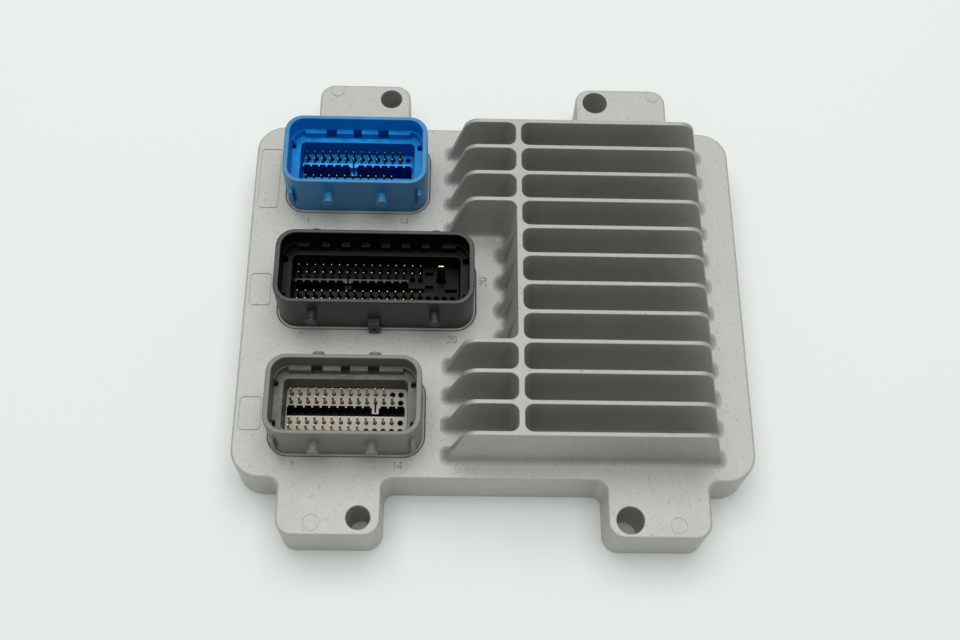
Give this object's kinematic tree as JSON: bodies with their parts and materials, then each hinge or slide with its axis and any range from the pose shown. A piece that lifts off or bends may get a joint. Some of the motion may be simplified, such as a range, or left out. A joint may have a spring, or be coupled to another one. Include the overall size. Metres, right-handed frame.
{
  "type": "engine control unit",
  "caption": "Die-cast electronic control unit with a block of cooling fins, pin headers in deep shells, mounting lugs and a recessed back plate.",
  "frame": {"origin": "middle of the back, level with the rim that the unit rests on", "axes": "+X along the cooling fins and away from the headers, +Y across the fins, +Z out of the finned face"},
  "size_m": [0.158, 0.1578, 0.0393],
  "materials": {
    "cast_aluminium": "fine blasted casting",
    "sheet_aluminium": "rolled sheet",
    "steel": "zinc plated",
    "brass": "gold flashed",
    "blue_plastic": "moulded",
    "black_plastic": "moulded",
    "grey_plastic": "moulded",
    "silicone": "cured bead",
    "board_laminate": "solder mask",
    "chip_case": "moulded",
    "can_aluminium": "drawn can",
    "thermal_pad": "soft pad"
  },
  "bodies": {
    "root": {"cast_housing": "cast_aluminium", "back_plate": "sheet_aluminium", "housing_seal": "silicone", "back_plate_screw_1": "steel", "back_plate_screw_2": "steel", "back_plate_screw_3": "steel", "back_plate_screw_4": "steel", "back_plate_screw_5": "steel", "back_plate_screw_6": "steel", "circuit_board": "board_laminate", "board_screw_1": "steel", "board_screw_2": "steel", "board_screw_3": "steel", "board_screw_4": "steel", "blue_header_shell": "blue_plastic", "blue_pin_block": "brass", "blue_sealant_bead": "silicone", "black_header_shell": "black_plastic", "black_pin_block": "brass", "black_power_blade": "brass", "black_sealant_bead": "silicone", "grey_header_shell": "grey_plastic", "grey_pin_block": "brass", "grey_sealant_bead": "silicone", "driver_chip_1": "chip_case", "driver_chip_2": "chip_case", "driver_chip_3": "chip_case", "driver_chip_4": "chip_case", "thermal_pad_1": "thermal_pad", "thermal_pad_2": "thermal_pad", "thermal_pad_3": "thermal_pad", "thermal_pad_4": "thermal_pad", "processor": "chip_case", "memory_chip": "chip_case", "power_supply_chip": "chip_case", "clock_crystal": "can_aluminium", "power_coil": "chip_case", "capacitor_1": "can_aluminium", "capacitor_2": "can_aluminium", "capacitor_3": "can_aluminium"}
  },
  "joints": []
}
